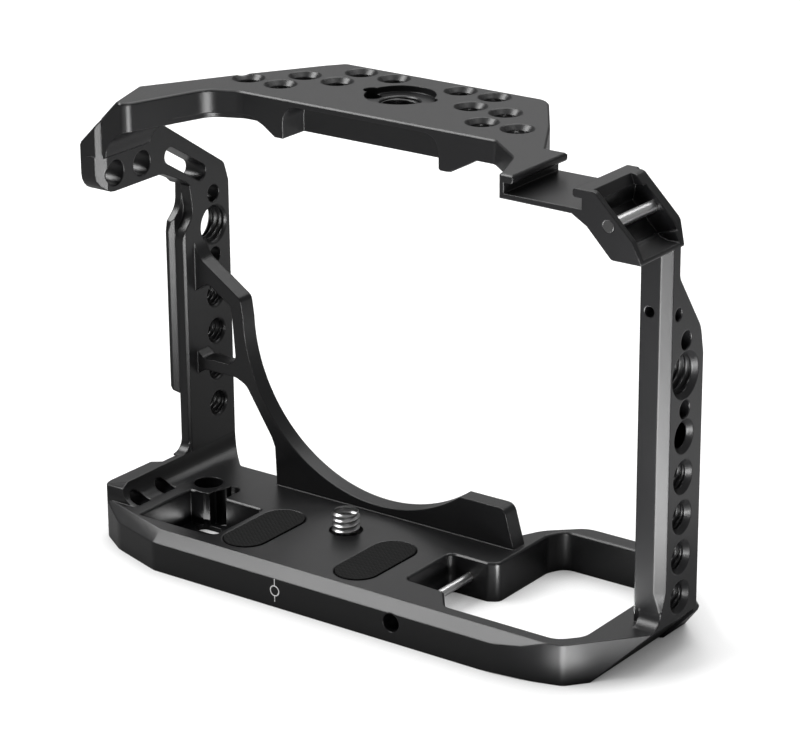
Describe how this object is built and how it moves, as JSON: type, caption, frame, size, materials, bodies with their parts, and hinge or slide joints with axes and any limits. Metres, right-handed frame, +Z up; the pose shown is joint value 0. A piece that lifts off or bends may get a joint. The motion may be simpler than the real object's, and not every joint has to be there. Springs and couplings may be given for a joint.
{
  "type": "camera cage",
  "caption": "Open metal frame that wraps a camera body, with a captive base screw, threaded holes, a cold shoe and a strap bar.",
  "frame": {"origin": "middle of the outer box in X and Y, on the bottom face", "axes": "+X to the right across the camera's back, +Y from the back to the lens side, +Z up"},
  "size_m": [0.1422, 0.0624, 0.1045],
  "materials": {
    "black_alloy": "bead-blasted black anodised",
    "steel": "turned stainless steel",
    "washer": "plain white nylon",
    "pad_rubber": "finely ribbed black rubber"
  },
  "bodies": {
    "cage": {"base_plate": "black_alloy", "battery_frame": "black_alloy", "side_rim": "black_alloy", "left_upright": "black_alloy", "left_rail": "black_alloy", "left_arm": "black_alloy", "lens_support": "black_alloy", "top_corner": "black_alloy", "top_plate": "black_alloy", "top_block": "black_alloy", "cold_shoe": "black_alloy", "strap_housing": "black_alloy", "right_upright": "black_alloy", "right_foot": "black_alloy", "pad_left": "pad_rubber", "pad_right": "pad_rubber", "strap_pin": "steel", "battery_pin": "steel"},
    "screw_carrier": {"screw_washer": "washer"},
    "screw": {"camera_screw": "steel"}
  },
  "joints": [
    {"name": "screw_slide", "type": "slide", "parent": "cage", "child": "screw_carrier", "axis": [0, 0, 1], "range_m": [-0.0032, 0]},
    {"name": "screw_turn", "type": "hinge", "parent": "screw_carrier", "child": "screw", "pos_m": [-0.01355, -0.0052, 0.005], "axis": [0, 0, 1], "continuous": true}
  ]
}
